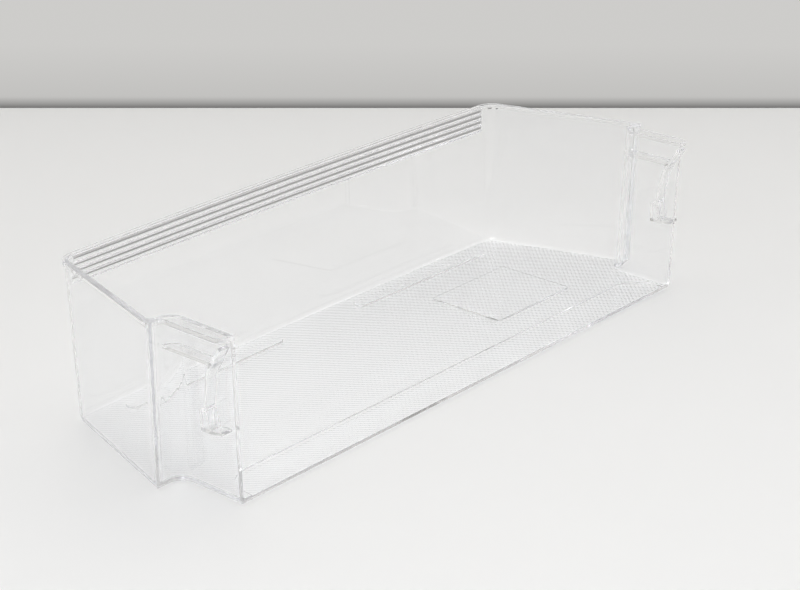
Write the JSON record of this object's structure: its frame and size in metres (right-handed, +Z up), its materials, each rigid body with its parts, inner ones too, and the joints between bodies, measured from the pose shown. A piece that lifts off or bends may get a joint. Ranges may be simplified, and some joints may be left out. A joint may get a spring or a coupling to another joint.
{
  "type": "refrigerator door shelf",
  "caption": "Clear plastic tray that hangs inside a refrigerator door, with a tall fluted front wall, ends that step in to a narrow neck with hanging ledges, and an open side towards the door.",
  "frame": {"origin": "on the surface that the shelf stands on, under the middle of its bounding box", "axes": "+X along the shelf, +Y from the open door side to the tall front wall, +Z up"},
  "size_m": [0.46, 0.155, 0.101],
  "materials": {
    "clear_plastic": "water-clear, glossy, with fine dots on the floor"
  },
  "bodies": {
    "root": {"door_shelf": "clear_plastic"}
  },
  "joints": []
}
